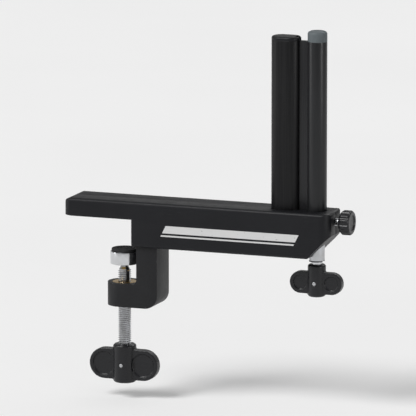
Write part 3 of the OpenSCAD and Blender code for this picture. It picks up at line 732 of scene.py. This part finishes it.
screws, crosses = bmesh.new(), bmesh.new()
for (x, z), turned_by in zip(screw_places(), SCREW_TURNS):
    place = (Matrix.Translation((x, 0, z)) @ Matrix.Rotation(math.radians(turned_by), 4, "Y")
             @ Matrix.Rotation(math.radians(-90), 4, "X"))
    join(screws, lathe(in_metres(SCREW), 40), place)
    join(crosses, cross_cutter(), place)
cover_screws = add("cover_screws_cross", to_mesh(screws, "cover_screws_cross"))
subtract(cover_screws, crosses)
stand_for(cover_screws, "cover_screws")


# ---------------------------------------------------------------- post and column
softened("main_post", 0.25)
softened("height_column", 0.25)
softened("post_cap", 0.35)
softened("column_cap", 0.3)

# ---------------------------------------------------------------- the clamp
# Profiles are (radius, z) in mm, and rounded() takes the radius of each corner by its number.
# The foot turns on the ball at the screw's upper end
BALL_Z, BALL_RADIUS, SOCKET_RADIUS = -32.5, 4.5, 4.55
FOOT_RADIUS, FOOT_LOW, FOOT_TOP = 11, -37, -27
PAD_RADIUS, PAD_TOP = 10, -25
PIN_HOLE = 1.52     # radius
clamp_screw = turned(
    "clamp_screw",
    [(0, -122), (4.2, -122), (5, -121.2), (5, -104),        # the end in the knob
     (4.0, -41.2), (3.2, -39.6), (3, -39.3), (3, -36.0)]    # the thread's end and the neck
    + arc(BALL_Z, BALL_RADIUS, -48, 90, 16),
    x=CLAMP_X, thread=Thread(start=3, pitch=1.5, depth=0.92, lead=1.0, crest=5.0))
drill(clamp_screw, at=(CLAMP_X, 0, -116), radius=PIN_HOLE, length=20)
turned("pressure_foot", rounded(
    arc(BALL_Z, SOCKET_RADIUS, 90, 0)
    + [(SOCKET_RADIUS, -34.5), (7.02, -34.5), (7.02, FOOT_LOW),     # the retainer's seat
       (FOOT_RADIUS, FOOT_LOW), (FOOT_RADIUS, FOOT_TOP), (0, FOOT_TOP)],
    {13: 0.3, 14: 0.6, 15: 1.0}), x=CLAMP_X, steps=96)
pad = [(0, FOOT_TOP), (PAD_RADIUS, FOOT_TOP), (PAD_RADIUS, PAD_TOP)]
for r in FOOT_GROOVES:
    pad += [(r + GROOVE_WIDTH / 2, PAD_TOP), (r + GROOVE_WIDTH / 3, PAD_TOP - GROOVE_DEPTH),
            (r - GROOVE_WIDTH / 3, PAD_TOP - GROOVE_DEPTH), (r - GROOVE_WIDTH / 2, PAD_TOP)]
turned("foot_pad", rounded(pad + [(0, PAD_TOP)], {1: 0.2, 2: 0.5}), x=CLAMP_X, steps=96)
turned("clamp_nut", rounded(
    [(5.05, -69), (7.5, -69), (7.5, -53.5),                 # the bore and the body in the jaw
     (9.5, -53.5), (9.5, -51), (5.05, -51), (5.05, -69)],   # the collar
    {1: 0.4, 4: 0.5, 5: 0.6}), x=CLAMP_X, steps=96)
softened("foot_retainer", 0.2)
moulding("clamp_knob", voxel=0.4, rounds=10)
softened("clamp_knob_pin", 0.4)
softened("clamp_knob_cap", 0.25)

# ---------------------------------------------------------------- the height spindle
height_screw = turned(
    "height_screw",
    [(0, -45.7), (3.4, -45.7), (4, -45.1), (4, -24.97),             # the end in the knob
     (3.4, -24.97), (3.4, -24.03), (4, -24.03), (4, -6.75),         # the clip's groove
     (5.8, -6.75), (6, -6.55), (6, -5.35), (5.8, -5.15),            # the collar on the washer
     (4, -5.15), (4, -3.5), (3.1, 55), (0, 55)],                    # the thread
    x=COLUMN_X, thread=Thread(start=13, pitch=1.25, depth=0.77, lead=1.0, crest=4.0))
drill(height_screw, at=(COLUMN_X, 0, -41.45), radius=PIN_HOLE, length=20)
turned("height_bush", rounded(
    [(4.05, -24), (6, -24), (6, -9.5),                      # the bore and the body
     (7.5, -9.5), (7.5, -7.5), (4.05, -7.5), (4.05, -24)],  # the collar
    {1: 0.5}), x=COLUMN_X, steps=96)
softened("height_clip", 0.15)
moulding("height_knob", voxel=0.35, rounds=10)
softened("height_knob_pin", 0.4)
softened("height_knob_cap", 0.25)

# ---------------------------------------------------------------- the lock screw
# Its profile is (radius, distance outward from sideways)
turned("lock_screw",
       [(0, 2.8), (1.3, 2.8), (1.3, 0), (2.3, 0),           # the tip's socket
        (3.0, 11.5), (3.0, 16.6), (2.6, 17), (0, 17)],      # the thread's end in the knob
       steps=48, thread=Thread(start=3, pitch=1.0, depth=0.6, lead=0.8, crest=3.0),
       sideways=(156.8, 0, LOCK_Z))

# The dish in the lock knob's outer face, in mm
DISH_X, DISH_RADIUS, DISH_WALL, DISH_DEPTH = 176.0, 6.4, 0.9, 0.8


def dished(co):
    """A shallow round dish in the outer face of the lock knob."""
    r = math.hypot(co.y, co.z - LOCK_Z * MM) / MM
    if co.x / MM > DISH_X and r < DISH_RADIUS:
        k = min(1.0, max(0.0, (DISH_RADIUS - r) / DISH_WALL))
        co = co - Vector((DISH_DEPTH * MM * k * k * (3 - 2 * k), 0, 0))
    return co


moulding("lock_knob", voxel=0.28, rounds=7, shape=dished)
softened("lock_tip", 0.2)

for node, ob in nodes.items():
    if not ob.hide_render:
        dress(ob, node)


# ---------------------------------------------------------------- floor
FLOOR_REACH = 15.0
FLOOR_GAP = 0.5     # mm below the clamp knob at its lowest
FLOOR_GLOW = 0.17   # what the camera and mirrors see on top of the lit floor

clamp_travel = next(j for j in behaviour["joints"] if j["name"] == "clamp_travel")
floor_z = cad_box[0][2] + clamp_travel["range_m"][0] - FLOOR_GAP * MM
floor_mesh = bpy.data.meshes.new("floor")
floor_mesh.from_pydata([(sx * FLOOR_REACH, sy * FLOOR_REACH, floor_z)
                        for sx, sy in ((-1, -1), (1, -1), (1, 1), (-1, 1))], [], [(0, 1, 2, 3)])
floor = add("floor", floor_mesh)
pale = Mat("floor")
floor_mesh.materials.append(pale.finish(
    pale.mix(pale.range(pale.noise(3, 3, 0.5), 0.3, 0.7, 0.0, 1.0), (0.79, 0.79, 0.79),
             (0.81, 0.81, 0.81)),
    0.9, spec=0.1))
rays = pale.node("LightPath").outputs
seen = pale.math("MAXIMUM", rays["Is Camera Ray"],
                 pale.math("MAXIMUM", rays["Is Glossy Ray"], rays["Is Transmission Ray"]))
glow = pale.node("Emission")
pale.link(pale.math("MULTIPLY", seen, FLOOR_GLOW), glow.inputs["Strength"])
both = pale.node("AddShader")
pale.link(pale.bsdf.outputs[0], both.inputs[0])
pale.link(glow.outputs[0], both.inputs[1])
pale.link(both.outputs[0], pale.out.inputs[0])


# ---------------------------------------------------------------- light
def lamp(name, kind, at, power, **settings):
    """A lamp that looks at the clamp."""
    data = bpy.data.lights.new(name, kind)
    data.energy = power
    for key, value in settings.items():
        setattr(data, key, value)
    ob = bpy.data.objects.new(name, data)
    scene.collection.objects.link(ob)
    ob.location = at
    ob.rotation_euler = (Vector(at) - Vector((0.06, 0, 0.02))).to_track_quat("Z", "Y").to_euler()
    # Only the key lights matt surfaces, so that no lamp leaves a bright pool on the floor
    ob.visible_camera = False
    ob.visible_diffuse = kind == "SUN"


TALL = {"shape": "RECTANGLE", "size": 0.3, "size_y": 0.9}
lamp("key", "SUN", (-0.9, -1.45, 1.8), 2.2, angle=math.radians(28))
lamp("strip_left", "AREA", (-1.5, -0.75, 0.42), 5, **TALL)
lamp("strip_right", "AREA", (1.7, -0.5, 0.42), 6, **TALL)
lamp("back", "AREA", (0.4, 1.5, 1.3), 9, shape="RECTANGLE", size=1.4, size_y=0.6)
world = bpy.data.worlds.new("world")
scene.world = world
world.use_nodes = True
sky = world.node_tree.nodes["Background"].inputs
sky["Color"].default_value = (0.9, 0.9, 0.9, 1)
sky["Strength"].default_value = 0.4

scene.view_settings.view_transform = "Standard"
